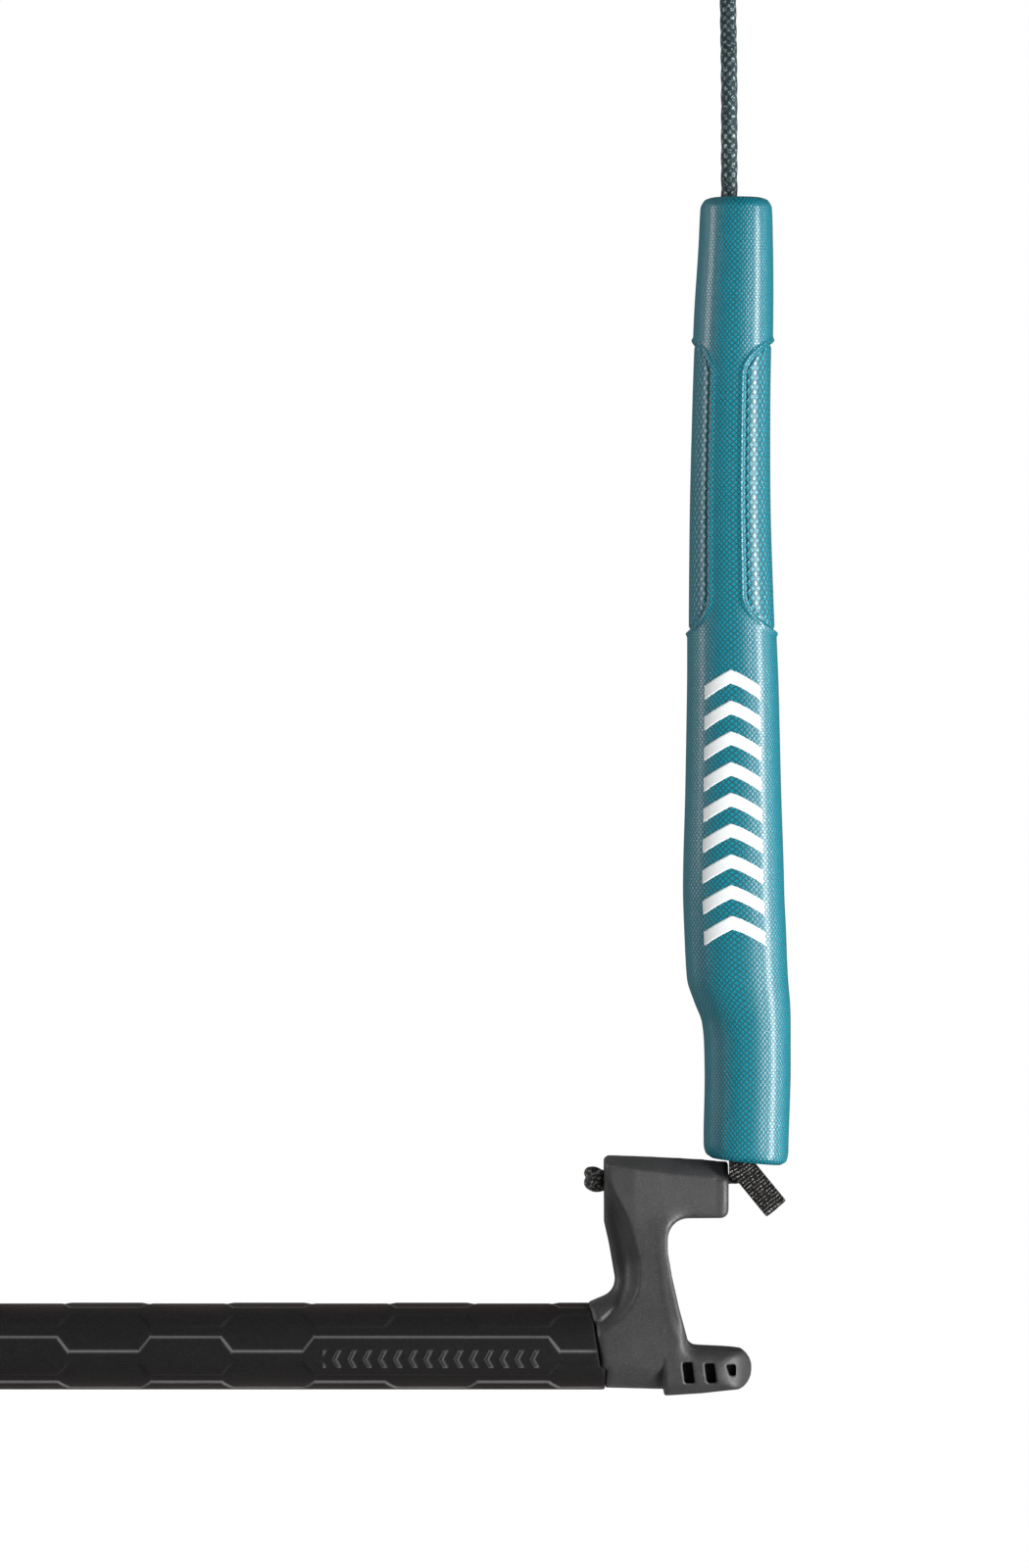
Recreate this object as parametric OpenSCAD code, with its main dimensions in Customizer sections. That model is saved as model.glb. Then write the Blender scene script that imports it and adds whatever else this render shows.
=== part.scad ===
// Kite control bar: a straight bar with soft grips, a centre hub that the depower line runs
// through, a moulded line winder at each end, and a leader line with a sliding float on each side.
// +X runs along the bar to its right end, +Y is the way the lines leave, +Z is up.
// The origin is the middle of the hub's through bore, on the bar's own axis.

/* [Bar] */
// Length of the bar from horn tip to horn tip
bar_length = 500; // [460:5:600]
// Outer diameter of the two bar tubes
tube_d = 19; // [18:0.5:20]
// Wall of the bar tubes
tube_wall = 1.5; // [1.2:0.1:2]
// Diameter of the grips
grip_d = 26.6; // [25:0.1:28]

/* [Centre hub] */
// Width of the hub covers along the bar
hub_w = 37; // [34:1:44]
// Depth of the hub covers along the depower line
hub_depth = 31; // [29:1:36]
// Diameter of the bore that the depower line runs through
depower_bore_d = 14; // [10:0.5:15]

/* [Lines] */
// Diameter of the leader lines
line_d = 5; // [4:0.5:5]
// Diameter of the adjuster lines
adjuster_d = 3; // [2.5:0.1:3.5]
// Diameter of the stopper knots
knot_d = 7.6; // [7:0.1:9]
// Middle diameter of the turns of the coiled leader
coil_d = 52; // [50:1:60]

/* [Floats] */
// Length of each float
float_length = 293; // [280:1:300]
// Diameter of the float's bore for the leader line
float_bore_d = 8; // [7.5:0.5:9]
// Diameter of the pocket in the float's base for the loop and knots
pocket_d = 13; // [12:0.5:14]

/* [Hidden] */
$fn = 48;

// Colours
grip_black = "#1e1b1c";
winder_grey = "#3b3b3e";
hub_grey = "#2b2b2e";
metal = "#c4c7ca";
foam_white = "#dcdcd4";
line_black = "#17191a";
line_teal = "#0e3d45";
line_red = "#4a1014";
float_teal = "#008091";
float_red = "#b21f2a";
seal_black = "#0e0e0f";

// Gap between pieces that are pressed or glued together, and between pieces that move
fit_gap = 0.05;
move_gap = 0.3;

grip_r = grip_d / 2;
tube_r = tube_d / 2;
tube_bore_r = tube_r - tube_wall;
line_r = line_d / 2;

// The winder is drawn from the outer end of the grip, at hub_x, outwards
winder_reach = 44.9;
hub_x = bar_length / 2 - winder_reach;
// The tubes stop short of the winder's slanted hub face
tube_end_x = hub_x - 5.1;
tube_start_x = 12.2;
spigot_length = 30;

// Arm of the winder: its bore holds the adjuster line
arm_bore_y = 50.8;
adjuster_r = adjuster_d / 2;
arm_bore_r = adjuster_r + 0.3;
arm_end = 37.6;
nose_start = 29.6;
nose_r = 5.8;
arm_bottom = 39.1;
plate_t = 17;
horn_t = 26;
hub_r = 13.1;

// The adjuster line bends up at pivot_x, where the leader starts
pivot_x = hub_x + 41.9;
pivot = [pivot_x, arm_bore_y, 0];
loop_start = 4;

// Leader: slightly slanted inside the float, then straight up the line side
leader_x = hub_x + 37.8;
float_base_y = 56.3;
float_top_y = float_base_y + float_length;
core_end_y = float_top_y - 6.1;
core_start = [pivot_x - 0.1, arm_bore_y + 28, 0];
core_end = [leader_x, core_end_y, 0];

// Table that the part lies on, and the coiled end of the leader
table_z = -grip_r;
coil_r = coil_d / 2;
tie_t = 0.6;
coil_center = [leader_x + coil_r, 446, table_z + tie_t + line_d];

// Route of the free leader from the float's mouth to the coil
LEADER_ROUTE = [
    [243, 343.4, 0], [243, 352, 0], [243, 361, 0], [243, 370, 0], [243, 379, 0],
    [243, 386, -0.6], [243, 392, -2.2], [243, 398, -4.9], [243, 404, -7.4], [243, 410, -9.2],
    [243, 417, -10.1], [243, 425, -10.2]
];

// ---------- helpers ----------

// Points of an arc in a plane
function arc(c, r, a0, a1, n) = [
    for (i = [0:n]) let (a = a0 + (a1 - a0) * i / n) c + r * [cos(a), sin(a)]
];

function unit(v) = v / norm(v);

// Direction of a route at its point i
function route_dir(p, i) = unit(p[min(i + 1, len(p) - 1)] - p[max(i - 1, 0)]);

// A round tube swept along a route that never runs straight up or down
module swept_line(p, r, sides) {
    n = len(p);
    points = [
        for (i = [0:n - 1])
            let (t = route_dir(p, i), u = unit(cross([0, 0, 1], t)), v = cross(t, u))
                for (k = [0:sides - 1])
                    let (a = 360 * k / sides) p[i] + r * (cos(a) * u + sin(a) * v)
    ];
    walls = [
        for (i = [0:n - 2]) for (k = [0:sides - 1])
            let (m = (k + 1) % sides)
                [i * sides + k, i * sides + m, (i + 1) * sides + m, (i + 1) * sides + k]
    ];
    caps = [
        [for (k = [sides - 1:-1:0]) k],
        [for (k = [0:sides - 1]) (n - 1) * sides + k]
    ];
    polyhedron(points, [for (f = concat(walls, caps)) [for (j = [len(f) - 1:-1:0]) f[j]]]);
}

// A cylinder between two points in the plane of the bar
module rod(a, b, r) {
    d = b - a;
    translate(a) rotate([0, 0, atan2(d[1], d[0])]) rotate([0, 90, 0]) cylinder(r = r, h = norm(d));
}

// A cylinder along +X
module x_cylinder(x0, x1, r) {
    translate([x0, 0, 0]) rotate([0, 90, 0]) cylinder(r = r, h = x1 - x0);
}

// Puts a part of the right side on one side of the bar: 1 is right, -1 is left
module on_side(side) {
    mirror([side < 0 ? 1 : 0, 0, 0]) children();
}

// ---------- bar and hub ----------

module tube(side) {
    color(metal) on_side(side) difference() {
        x_cylinder(tube_start_x, tube_end_x, tube_r);
        x_cylinder(tube_start_x - 1, tube_end_x + 1, tube_bore_r);
        lock_pin_hole();
    }
}

core_x = 12;
core_y = 13.8;
core_z = 10.6;
sleeve_r = depower_bore_d / 2 + 1.9;
hub_spigot_x = 38;

module center_core() {
    color(hub_grey) difference() {
        union() {
            cube([2 * core_x, 2 * core_y, 2 * core_z], center = true);
            x_cylinder(-hub_spigot_x, hub_spigot_x, tube_bore_r - fit_gap);
        }
        rotate([90, 0, 0]) cylinder(r = sleeve_r + fit_gap, h = 4 * core_y, center = true);
    }
}

flange_r = 11.2;
flange_t = 1.4;

module center_sleeve() {
    color(metal) rotate([90, 0, 0]) difference() {
        union() {
            cylinder(r = sleeve_r, h = hub_depth, center = true);
            for (s = [-1, 1])
                translate([0, 0, s * (hub_depth / 2 + fit_gap + flange_t / 2)])
                    cylinder(r = flange_r, h = flange_t + 2 * fit_gap, center = true);
        }
        cylinder(d = depower_bore_d, h = 2 * hub_depth, center = true);
    }
}

screw_x = 15.4;
screw_y = 12.2;
screw_r = 1.5;
screw_head_r = 2.7;
screw_head_t = 1.8;

// Both covers before they are split: a rounded block, hollow for the core and the tubes
module cover_block() {
    difference() {
        intersection() {
            cube([hub_w, hub_depth, 2 * grip_r], center = true);
            scale([1, 1.3, 1]) x_cylinder(-hub_w, hub_w, grip_r + 0.6);
        }
        cube([2 * core_x + 0.1, 2 * core_y + 0.1, 2 * core_z + 0.1], center = true);
        x_cylinder(-hub_w, hub_w, tube_r + fit_gap);
        rotate([90, 0, 0]) cylinder(r = sleeve_r + fit_gap, h = 2 * hub_depth, center = true);
        for (x = [-screw_x, screw_x]) for (y = [-screw_y, screw_y]) translate([x, y, 0]) {
            translate([0, 0, -grip_r + 3]) cylinder(r = screw_r + fit_gap, h = 2 * grip_r);
            translate([0, 0, cover_screw_z]) cylinder(r = screw_head_r + fit_gap, h = grip_r);
        }
    }
}

cover_screw_z = 8.2;

module center_cover(s) {
    color(hub_grey) intersection() {
        cover_block();
        translate([0, 0, s * (50 + fit_gap)]) cube(100, center = true);
    }
}

module cover_screws() {
    color(metal) for (x = [-screw_x, screw_x]) for (y = [-screw_y, screw_y]) translate([x, y, 0]) {
        translate([0, 0, -grip_r + 3.1]) cylinder(r = screw_r, h = grip_r - 3 + cover_screw_z);
        difference() {
            translate([0, 0, cover_screw_z + fit_gap]) cylinder(r = screw_head_r, h = screw_head_t);
            translate([0, 0, cover_screw_z + 1]) cylinder(r = 1.2, h = screw_head_t, $fn = 6);
        }
    }
}

// Slanted end of the grip, as [x from the hub face, y]
GRIP_END = [[-4.5, 14], [-1.5, -5.7], [0, -6.5], [0, -14]];

module grip(side) {
    grip_start_x = hub_w / 2 + 0.2;
    color(grip_black) on_side(side) difference() {
        x_cylinder(grip_start_x, hub_x, grip_r);
        x_cylinder(grip_start_x - 1, hub_x + 1, tube_r + fit_gap);
        translate([hub_x, 0, -50]) linear_extrude(100)
            polygon(concat(GRIP_END, [[20, -20], [20, 20]]));
    }
}

foam_inner_x = 45;

module tube_foam(side) {
    color(foam_white) on_side(side)
        x_cylinder(foam_inner_x, hub_x - spigot_length - 4, tube_bore_r - fit_gap);
}

// ---------- winder ----------

// Outline of the winder in the plane of the bar, from the hub face outwards
WINDER_OUTLINE = concat(
    [[0.2, -12.4], [15.2, -13.1], [17.9, -13.1], [17.9, -14.6], [29, -13.8], [37, -12.8]],
    arc([38.6, -6.6], 6.2, -70, 62, 8),
    [[34, -0.6]],
    arc([28.3, 3.1], 3.4, -100, -180, 4),
    [[22.4, 12.2], [20.3, 21.8], [19.2, 29]],
    arc([25.2, 32.9], 6.2, 180, 90, 5),
    arc([35.2, 41.5], 2.4, -90, 0, 4),
    [[37.6, 56.6], [29.6, 57.4], [0.9, 58.2], [-0.3, 57], [-0.3, 38], [1.2, 31.3], [3, 21]],
    arc([-2.6, 20.2], 5.6, 0, -62, 4),
    [[-3.9, 12.6], [-4.1, 12.6], [-1.2, -5.6], [0.2, -6.4]]
);

module winder_outline() {
    polygon(WINDER_OUTLINE);
}

// The outline between two heights, as a plate centred on the bar's plane
module winder_plate(y0, y1, x0, x1, t) {
    translate([0, 0, -t / 2]) linear_extrude(t) intersection() {
        winder_outline();
        translate([x0, y0]) square([x1 - x0, y1 - y0]);
    }
}

// Window in the wall of the horn, a slanted slot
module horn_window(x, y0, y1, w) {
    translate([0, 0, horn_t / 2 - 5]) linear_extrude(10)
        polygon([[x, y1], [x + 0.8, y0], [x + w + 0.8, y0], [x + w, y1]]);
}

module winder(side) {
    color(winder_grey) on_side(side) translate([hub_x, 0, 0]) difference() {
        union() {
            // arm, neck and the root of the neck in the hub
            winder_plate(-6, 70, -5, nose_start, plate_t);
            // rounded arm end that the float's base turns around
            translate([0, arm_bore_y, 0]) x_cylinder(nose_start - 1, arm_end, nose_r);
            winder_plate(arm_bottom, arm_bore_y, nose_start - 1, arm_end, 2 * nose_r);
            // round hub
            intersection() {
                winder_plate(-20, 14, -5, 20, 2 * hub_r);
                x_cylinder(-5, 20, hub_r);
            }
            // horn, rounded in plan
            intersection() {
                winder_plate(-20, 5, 17.9, 50, horn_t);
                rotate([90, 0, 0]) linear_extrude(60, center = true) union() {
                    translate([0, -horn_t / 2]) square([winder_reach - horn_t / 2, horn_t]);
                    translate([winder_reach - horn_t / 2, 0]) circle(d = horn_t);
                }
            }
            // collar inside the grip and spigot inside the tube
            x_cylinder(tube_end_x - hub_x + fit_gap, 1, tube_r - fit_gap);
            x_cylinder(-spigot_length, 1, tube_bore_r - fit_gap);
        }
        translate([0, arm_bore_y, 0]) x_cylinder(-10, 60, arm_bore_r);
        for (s = [0, 1]) mirror([0, 0, s]) {
            horn_window(23.6, -11.2, -5.6, 3);
            horn_window(30.3, -11.2, -5.8, 3);
            horn_window(37, -9.2, -6, 2.6);
        }
        for (x = SEAL_X) seal_groove(x);
        translate([-hub_x, 0, 0]) lock_pin_hole();
    }
}

// Places of the two O-rings on the spigot, from the hub face
SEAL_X = [-26, -21];
seal_w = 1.8;
seal_depth = 1.3;

module seal_groove(x) {
    difference() {
        x_cylinder(x, x + seal_w, tube_bore_r + 1);
        x_cylinder(x - 1, x + seal_w + 1, tube_bore_r - seal_depth);
    }
}

module spigot_seals(side) {
    color(seal_black) on_side(side) translate([hub_x, 0, 0]) for (x = SEAL_X) difference() {
        x_cylinder(x + 0.1, x + seal_w - 0.1, tube_bore_r - 0.02);
        x_cylinder(x - 1, x + seal_w + 1, tube_bore_r - seal_depth + fit_gap);
    }
}

lock_pin_x = hub_x - 14;
lock_pin_r = 1.5;

module lock_pin_hole() {
    translate([lock_pin_x, 0, 0]) cylinder(r = lock_pin_r + fit_gap, h = 4 * tube_r, center = true);
}

module lock_pin(side) {
    color(metal) on_side(side) translate([lock_pin_x, 0, 0]) difference() {
        cylinder(r = lock_pin_r, h = 2 * tube_r - 0.4, center = true);
        cylinder(r = 0.8, h = 4 * tube_r, center = true);
    }
}

// ---------- lines ----------

knot_x = hub_x - 0.3 - knot_d / 2 - 0.1;

module stopper_knot(side) {
    color(line_black) on_side(side) translate([knot_x, arm_bore_y, 0]) rotate([0, 90, 0])
        rotate_extrude() intersection() {
            difference() {
                circle(d = knot_d);
                square([adjuster_r + fit_gap, knot_d]);
            }
            translate([0, -knot_d]) square([knot_d, 2 * knot_d]);
        }
}

module adjuster_line(side) {
    color(line_black) on_side(side) union() {
        rod([knot_x + 0.1, arm_bore_y, 0], pivot, adjuster_r);
        translate(pivot) cylinder(r = adjuster_r, h = adjuster_d, center = true);
    }
}

// Knotted stretch above the pivot, inside the float's pocket
module adjuster_knots(side) {
    color(line_black) on_side(side) translate(pivot) difference() {
        union() {
            translate([0, loop_start, 0]) rotate([-90, 0, 0]) cylinder(r = adjuster_r, h = 11);
            for (y = [3.4, 7.6]) translate([0, loop_start + y, 0]) sphere(d = 0.9 * knot_d);
        }
        sphere(r = adjuster_r + 1);
    }
}

module leader_loop(side) {
    color(side < 0 ? line_red : line_teal) on_side(side) translate(pivot + [0, loop_start + 11.05, 0])
        rotate([-90, 0, 0]) union() {
            translate([0, 0, 4.4]) sphere(r = 4.4);
            translate([0, 0, 4]) cylinder(r = 3.6, h = 8.9);
        }
}

module leader_core(side) {
    color(side < 0 ? line_red : line_teal) on_side(side) rod(core_start, core_end, line_r);
}

module leader_line(side) {
    color(side < 0 ? line_red : line_teal) on_side(side) swept_line(LEADER_ROUTE, line_r, 10);
}

coil_w = 2 * line_d;

module leader_coil(side) {
    color(side < 0 ? line_red : line_teal) on_side(side) translate(coil_center)
        rotate_extrude($fn = 64) translate([coil_r, 0]) square(coil_w, center = true);
}

tie_w = 12;

// Band around the coil, on the side away from the float
module coil_tie(side) {
    color(seal_black) on_side(side) translate(coil_center + [0, coil_r, 0]) difference() {
        cube([tie_w, coil_w + 2.2 + 2 * tie_t, coil_w + 2 * tie_t], center = true);
        cube([2 * tie_w, coil_w + 2.2, coil_w + 0.1], center = true);
    }
}

// The knot lies inside the coil, at knot_turn round from +X, with its line coming off the turns
knot_turn = -60;
knot_turn_r = 16.2;

module leader_end_knot(side) {
    color(side < 0 ? line_red : line_teal) on_side(side)
        translate([coil_center[0], coil_center[1], table_z + 4.4]) union() {
            translate(knot_turn_r * [cos(knot_turn), sin(knot_turn), 0]) sphere(r = 4.4);
            rod(knot_turn_r * [cos(knot_turn), sin(knot_turn), 0],
                (knot_turn_r + 1) * [cos(knot_turn + 34), sin(knot_turn + 34), 0], line_r);
        }
}

// ---------- floats ----------

// Stations of the right float from its base up: height over the base, middle, half width,
// half thickness and the slope of the section's plane, with x measured from leader_x
FLOAT_STATIONS = [
    [0, 5.2, 10.6, 9.4, -0.105], [1.2, 5.2, 12.3, 11.2, -0.1], [4, 5.2, 12.9, 12, -0.08],
    [27, 5.7, 13.1, 12.4, 0], [36, 5.6, 13.2, 12.5, 0], [42, 5.3, 13.5, 12.6, 0],
    [48.5, 4, 14.6, 12.8, 0], [55.6, 2.6, 15.4, 13, 0], [70, 1.9, 15.5, 13.1, 0],
    [84, 1.4, 15.4, 13.1, 0], [113, 1.3, 14.6, 12.9, 0], [142, 1.2, 14, 12.7, 0],
    [170, 0.7, 13.4, 12.5, 0], [199, 0.4, 12.8, 12.2, 0], [228, 0.7, 12.4, 12.1, 0],
    [256, 1.4, 12.1, 11.9, 0], [280, 2.1, 11.3, 11.4, 0], [290, 2.2, 10.9, 10.6, 0],
    [292.5, 2.2, 9.6, 9.2, 0], [293, 2.2, 8.2, 8, 0]
];
float_sides = 32;

// A section is a rounded rectangle: an ellipse with its corners pushed out a little
function float_ring(s) = [
    for (k = [0:float_sides - 1])
        let (a = 360 * k / float_sides, x = sign(cos(a)) * pow(abs(cos(a)), 0.85) * s[2])
            [leader_x + s[1] + x, float_base_y + s[0] * float_length / 293 + s[4] * x,
                sign(sin(a)) * pow(abs(sin(a)), 0.85) * s[3]]
];

module float_body() {
    rings = [for (s = FLOAT_STATIONS) float_ring(s)];
    n = len(rings);
    m = float_sides;
    walls = [
        for (i = [0:n - 2]) for (k = [0:m - 1])
            let (a = i * m + k, b = i * m + (k + 1) % m) each [[a, b, b + m], [a, b + m, a + m]]
    ];
    caps = [[for (k = [m - 1:-1:0]) k], [for (k = [0:m - 1]) (n - 1) * m + k]];
    polyhedron([for (r = rings) each r], concat(walls, caps));
}

module float_side(side) {
    color(side < 0 ? float_red : float_teal) on_side(side) difference() {
        float_body();
        rod(core_start - [0, 40, 0], core_end + 0.12 * (core_end - core_start), float_bore_d / 2);
        rod([pivot_x, arm_bore_y - 5, 0], [pivot_x, arm_bore_y + 34, 0], pocket_d / 2);
    }
}

// ---------- pull tab ----------

tab_dir = unit([0.634, -0.773, 0]);
tab_w = 7.7;
tab_length = 12;
tab_layer = 1.3;
tab_end = pivot + [9.9, -8.4, 0];
tab_z = 4.9;

// Two layers of webbing, folded over at the free end
module pull_tab(side) {
    root = tab_end - tab_length * tab_dir;
    color(line_black) on_side(side) translate([root[0], root[1], tab_z])
        rotate([0, 0, atan2(tab_dir[1], tab_dir[0])]) rotate([90, 0, 0])
            linear_extrude(tab_w, center = true) union() {
                square([tab_length - tab_layer, 2 * tab_layer]);
                for (x = [0, tab_length - tab_layer]) translate([x, tab_layer]) circle(r = tab_layer);
            }
}

// ---------- nodes ----------

tube(-1);  // tube_left
tube(1);  // tube_right
center_core();
center_sleeve();
center_cover(1);  // center_cover_top
center_cover(-1);  // center_cover_bottom
cover_screws();
grip(-1);  // grip_left
grip(1);  // grip_right
tube_foam(-1);  // tube_foam_left
tube_foam(1);  // tube_foam_right
winder(-1);  // winder_left
winder(1);  // winder_right
spigot_seals(-1);  // spigot_seals_left
spigot_seals(1);  // spigot_seals_right
lock_pin(-1);  // lock_pin_left
lock_pin(1);  // lock_pin_right
stopper_knot(-1);  // stopper_knot_left
stopper_knot(1);  // stopper_knot_right
adjuster_line(-1);  // adjuster_line_left
adjuster_line(1);  // adjuster_line_right
adjuster_knots(-1);  // adjuster_knots_left
adjuster_knots(1);  // adjuster_knots_right
leader_loop(-1);  // leader_loop_left
leader_loop(1);  // leader_loop_right
leader_core(-1);  // leader_core_left
leader_core(1);  // leader_core_right
leader_line(-1);  // leader_line_left
leader_line(1);  // leader_line_right
leader_coil(-1);  // leader_coil_left
leader_coil(1);  // leader_coil_right
coil_tie(-1);  // coil_tie_left
coil_tie(1);  // coil_tie_right
leader_end_knot(-1);  // leader_end_knot_left
leader_end_knot(1);  // leader_end_knot_right
float_side(-1);  // float_left
float_side(1);  // float_right
pull_tab(-1);  // pull_tab_left
pull_tab(1);  // pull_tab_right
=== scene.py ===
"""The looks of the kite control bar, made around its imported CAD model.

Lengths are in millimetres in the CAD's frame until a mesh is made, which is in metres.
+X runs along the bar, +Y is the way the lines leave and +Z is up from the table.
"""

import math

import bpy
import numpy as np
from mathutils import Matrix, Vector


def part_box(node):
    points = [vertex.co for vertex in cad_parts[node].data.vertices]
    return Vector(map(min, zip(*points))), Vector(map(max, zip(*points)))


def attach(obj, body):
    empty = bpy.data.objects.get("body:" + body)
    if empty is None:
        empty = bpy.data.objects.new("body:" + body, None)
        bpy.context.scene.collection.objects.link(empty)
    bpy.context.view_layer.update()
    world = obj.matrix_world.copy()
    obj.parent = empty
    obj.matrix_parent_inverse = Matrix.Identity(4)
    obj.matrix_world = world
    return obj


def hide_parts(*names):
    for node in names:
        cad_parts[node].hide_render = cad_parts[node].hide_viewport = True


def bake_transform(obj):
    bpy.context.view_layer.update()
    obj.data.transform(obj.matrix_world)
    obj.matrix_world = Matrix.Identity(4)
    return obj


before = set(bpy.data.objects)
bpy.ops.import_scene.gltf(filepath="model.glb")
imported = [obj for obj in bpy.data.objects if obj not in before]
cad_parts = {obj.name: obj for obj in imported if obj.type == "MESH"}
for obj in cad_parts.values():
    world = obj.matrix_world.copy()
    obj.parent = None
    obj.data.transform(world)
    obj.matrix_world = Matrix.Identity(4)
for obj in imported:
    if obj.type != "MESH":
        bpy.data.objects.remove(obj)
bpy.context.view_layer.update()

MM = 0.001
SIDES = {"right": 1, "left": -1}


# ---------- places that the CAD gives ----------

def node_box(node):
    """Lowest and highest corner of a CAD node, in millimetres."""
    low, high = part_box(node)
    return np.array(low) / MM, np.array(high) / MM


(grip_start, _, table_z), (hub_x, _, grip_r) = node_box("grip_right")
arm_y = 50.8
pivot = np.array([hub_x + 41.9, arm_y, 0.0])
leader_x = hub_x + 37.8
float_base_y = 56.3
float_length = 293.0
line_r = 2.5
adjuster_r = 1.5


# ---------- numbers and curves ----------

def mirrored(points, side):
    """Points of the right side moved to one side of the bar."""
    return np.asarray(points, float) * [SIDES[side], 1, 1]


def unit(vectors):
    """Vectors brought to length 1."""
    return vectors / np.linalg.norm(vectors, axis=-1, keepdims=True)


def angles(count):
    """Even angles round a circle."""
    return np.arange(count) * 2 * math.pi / count


def squared(c, power):
    """A sine or cosine with its circle pushed out towards a square."""
    return np.sign(c) * np.abs(c) ** power


def eased(x, low, high):
    """0 below low, 1 above high and a smooth step between them."""
    t = np.clip((np.asarray(x, float) - low) / (high - low), 0, 1)
    return t * t * (3 - 2 * t)


def smooth_between(x, xs, ys):
    """Values of a smooth curve through the points (xs, ys), with xs rising, that never
    overshoots them (a monotone cubic)."""
    secant = np.diff(ys) / np.diff(xs)
    before, after = secant[:-1], secant[1:]
    both = before * after > 0
    middle = np.where(both, 2 * before * after / np.where(both, before + after, 1), 0)
    slopes = np.concatenate([secant[:1], middle, secant[-1:]])
    i = np.clip(np.searchsorted(xs, x, side="right") - 1, 0, len(xs) - 2)
    w = xs[i + 1] - xs[i]
    t = (x - xs[i]) / w
    return ((2 * t ** 3 - 3 * t ** 2 + 1) * ys[i] + (t ** 3 - 2 * t ** 2 + t) * w * slopes[i]
            + (3 * t ** 2 - 2 * t ** 3) * ys[i + 1] + (t ** 3 - t ** 2) * w * slopes[i + 1])


def smooth_max(a, b, k):
    """The larger of two fields, with the edge between them rounded over about k."""
    h = np.clip(k - np.abs(a - b), 0, None)
    return np.maximum(a, b) + h * h / (4 * k)


def spaced(path, count):
    """A path's points moved to even places along it, and the length at each."""
    s = np.concatenate([[0], np.cumsum(np.linalg.norm(np.diff(path, axis=0), axis=1))])
    at = np.linspace(0, s[-1], count)
    return np.stack([np.interp(at, s, path[:, k]) for k in range(3)], 1), at


# ---------- meshes ----------

def placed(name, data):
    """A new object in the scene with its data."""
    obj = bpy.data.objects.new(name, data)
    bpy.context.scene.collection.objects.link(obj)
    return obj


def piece(name, side, body, slot, points, quads, uv=None, masks=None, replaces=(), finish=None):
    """A finished piece: a smooth mesh of quads, its finish, the body that it rides on and the
    CAD nodes that it replaces. A side is added to their names. uv holds a pair for each corner
    and masks a value for each point."""
    ending = f"_{side}" if side else ""
    me = bpy.data.meshes.new(name + ending)
    points, quads = np.asarray(points, float) * MM, np.asarray(quads, np.int32)
    me.vertices.add(len(points))
    me.vertices.foreach_set("co", points.astype(np.float32).ravel())
    me.loops.add(quads.size)
    me.loops.foreach_set("vertex_index", quads.ravel())
    me.polygons.add(len(quads))
    me.polygons.foreach_set("loop_start", np.arange(0, quads.size, 4, dtype=np.int32))
    me.update(calc_edges=True)
    if uv is not None:
        layer = me.uv_layers.new(name="surface")
        layer.data.foreach_set("uv", np.asarray(uv, np.float32).ravel())
    for key, values in (masks or {}).items():
        layer = me.attributes.new(key, "FLOAT", "POINT")
        layer.data.foreach_set("value", np.asarray(values, np.float32).ravel())
    me.validate()
    me.shade_smooth()
    me.materials.append(MATERIALS[finish or slot])
    obj = placed(name + ending, me)
    if body:
        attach(obj, body if body == "bar" else f"{side}_{body}")
    if replaces:
        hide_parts(*(node + ending for node in replaces))
    return obj


def ring_grid(rings, v, side, ends=False, closed=False, around=1.0):
    """Points, quads and corner uv of rings of points; v is the length at each ring.
    around is what u grows by once round a ring. closed joins the last ring to the first."""
    n, m = rings.shape[:2]
    i, j = np.meshgrid(np.arange(n if closed else n - 1), np.arange(m), indexing="ij")
    i, j = i.ravel(), j.ravel()
    k, after = (j + 1) % m, (i + 1) % n
    quads = np.stack([i * m + j, i * m + k, after * m + k, after * m + j], 1)
    u = np.arange(m + 1) / m * around
    v = np.append(v, v[-1] + 1)
    uv = np.stack([np.stack([u[j + p], v[i + q]], 1) for p, q in ((0, 0), (1, 0), (1, 1), (0, 1))], 1)
    points = rings.reshape(-1, 3)
    if ends:
        caps, cap_uv = [], []
        for row, flip in ((0, True), (n - 1, False)):
            a = np.arange(m // 2 - 1)
            cap = row * m + np.stack([a, a + 1, m - 2 - a, m - 1 - a], 1)
            caps.append(cap[:, ::-1] if flip else cap)
            cap_uv.append(np.tile([[u[0], v[row]]], (len(cap), 4, 1)).reshape(-1, 4, 2))
        quads, uv = np.concatenate([quads, *caps]), np.concatenate([uv, *cap_uv])
    order = SIDES[side]
    return mirrored(points, side), quads[:, ::order], uv[:, ::order]


def smooth_curve(points, step):
    """Points a step apart on a smooth curve through the given ones (Catmull-Rom)."""
    p = np.asarray(points, float)
    p = np.vstack([2 * p[0] - p[1], p, 2 * p[-1] - p[-2]])
    out = []
    for a, b, c, d in zip(p, p[1:], p[2:], p[3:]):
        t = np.linspace(0, 1, 24, endpoint=False)[:, None]
        out.append(0.5 * (2 * b + (c - a) * t + (2 * a - 5 * b + 4 * c - d) * t ** 2
                          + (3 * b - a - 3 * c + d) * t ** 3))
    out = np.vstack(out + [p[-2:-1]])
    length = np.linalg.norm(np.diff(out, axis=0), axis=1).sum()
    return spaced(out, max(4, int(round(length / step)) + 1))


def tube_rings(path, s, radius, sides):
    """Rings round a path, with frames carried along it; radius is a function of the length and
    the angle."""
    t = unit(np.gradient(path, axis=0))
    u = unit(np.cross((0.0, 0.0, 1.0), t[0]))
    a = angles(sides)
    rings = np.empty((len(path), sides, 3))
    for i, (p, d) in enumerate(zip(path, t)):
        u = unit(u - d * (u @ d))
        w = np.cross(d, u)
        rings[i] = p + radius(s[i], a)[:, None] * (np.cos(a)[:, None] * u + np.sin(a)[:, None] * w)
    return rings


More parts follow.
